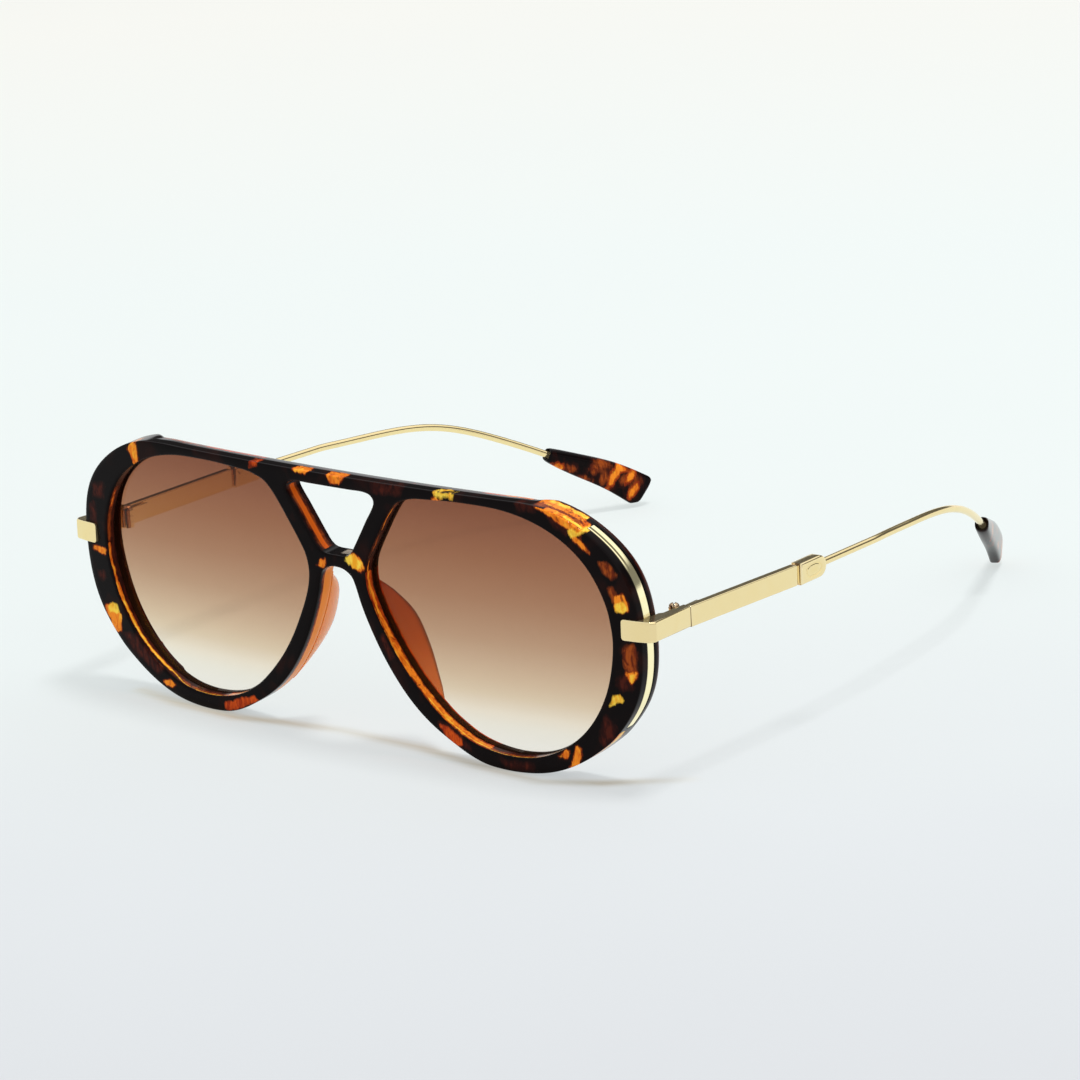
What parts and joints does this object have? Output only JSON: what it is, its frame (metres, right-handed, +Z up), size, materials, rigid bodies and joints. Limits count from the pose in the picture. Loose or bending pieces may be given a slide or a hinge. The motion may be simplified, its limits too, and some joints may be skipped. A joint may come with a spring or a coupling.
{
  "type": "aviator sunglasses",
  "caption": "Aviator sunglasses: tortoiseshell acetate front, gradient lenses, inlaid gold rim strips, gold folding wire temples with tortoiseshell tips, stood open.",
  "frame": {"origin": "on the table plane, half way between the two rims and half way between the front of the brow and the ends of the temple tips", "axes": "+Z up, -Y the front that faces away from the wearer, +X the wearer's left; temples open"},
  "size_m": [0.1448, 0.1591, 0.0541],
  "materials": {
    "tortoise_acetate": "polished tortoiseshell acetate, near black with amber and yellow patches",
    "tip_acetate": "polished tortoiseshell acetate with orange streaks",
    "amber_acetate": "polished translucent amber acetate",
    "lens_tint": "polished brown gradient tint, dark at the top, nearly clear at the bottom",
    "gold_metal": "polished pale yellow gold plating",
    "screw_metal": "dulled gold plated screw"
  },
  "bodies": {
    "front": {"front_frame": "tortoise_acetate", "lens_left": "lens_tint", "lens_right": "lens_tint", "trim_strip_left": "gold_metal", "trim_strip_right": "gold_metal", "nose_pad_left": "amber_acetate", "nose_pad_right": "amber_acetate", "endpiece_left": "gold_metal", "endpiece_right": "gold_metal", "endpiece_screw_left": "screw_metal", "endpiece_screw_right": "screw_metal", "hinge_front_leaf_left": "gold_metal", "hinge_front_leaf_right": "gold_metal", "hinge_screw_left": "screw_metal", "hinge_screw_right": "screw_metal"},
    "temple_left": {"hinge_temple_leaf_left": "gold_metal", "temple_bar_left": "gold_metal", "temple_ferrule_left": "gold_metal", "temple_wire_left": "gold_metal", "temple_tip_left": "tip_acetate"},
    "temple_right": {"hinge_temple_leaf_right": "gold_metal", "temple_bar_right": "gold_metal", "temple_ferrule_right": "gold_metal", "temple_wire_right": "gold_metal", "temple_tip_right": "tip_acetate"}
  },
  "joints": [
    {"name": "temple_left_fold", "type": "hinge", "parent": "front", "child": "temple_left", "pos_m": [0.06815, -0.06225, 0.03145], "axis": [0, 0, 1], "range_deg": [0, 84]},
    {"name": "temple_right_fold", "type": "hinge", "parent": "front", "child": "temple_right", "pos_m": [-0.06815, -0.06225, 0.03145], "axis": [0, 0, -1], "range_deg": [0, 80]}
  ]
}
